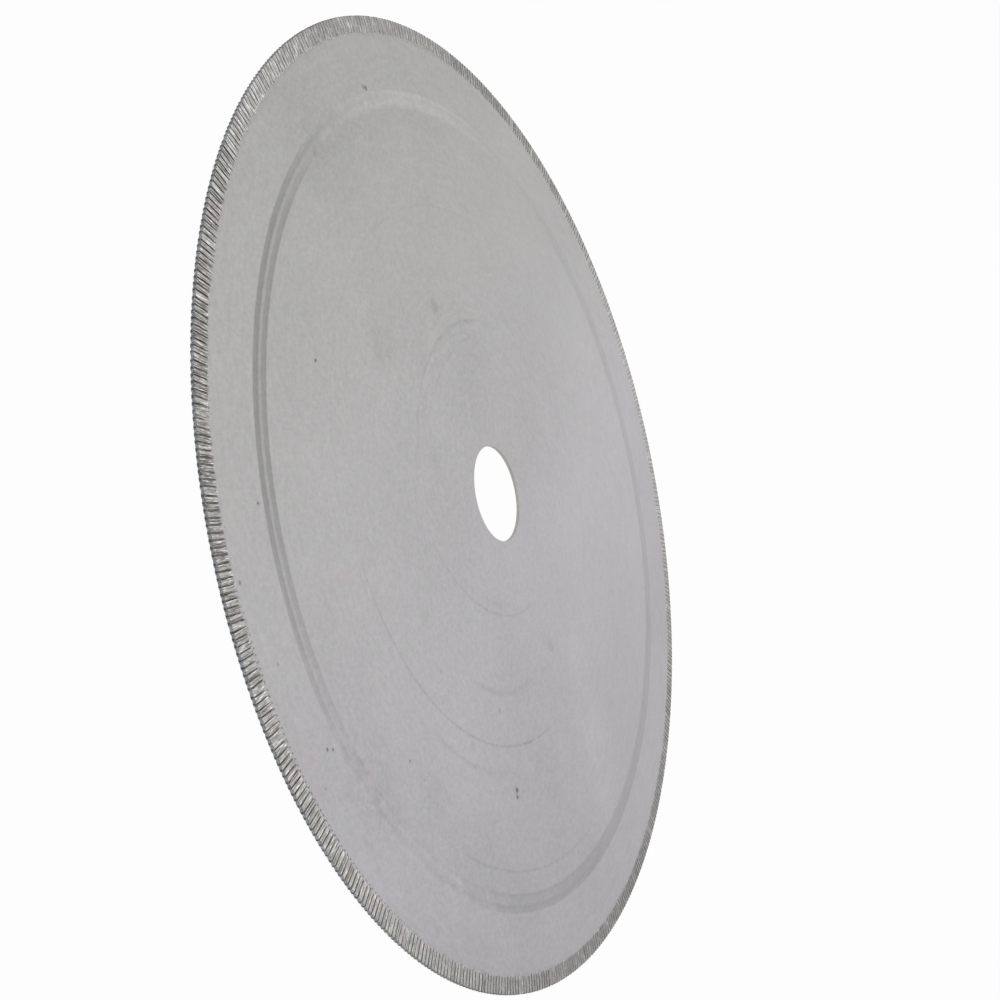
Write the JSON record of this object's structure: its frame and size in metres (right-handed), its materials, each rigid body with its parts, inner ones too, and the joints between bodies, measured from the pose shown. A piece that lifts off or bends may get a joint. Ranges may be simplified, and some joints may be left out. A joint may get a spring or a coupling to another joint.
{
  "type": "lapidary saw blade",
  "caption": "Thin round steel saw blade with a plain arbor bore, a rolled tension ring and a rim gashed all round to hold abrasive.",
  "frame": {"origin": "centre of the bore at half the blade's thickness", "axes": "+Z along the arbor axis, square to the blade, which lies flat"},
  "size_m": [0.25, 0.25, 0.0008],
  "materials": {
    "steel": "ground and dulled, with faint arcs from grinding and a rougher rim"
  },
  "bodies": {
    "root": {"blade": "steel"}
  },
  "joints": []
}
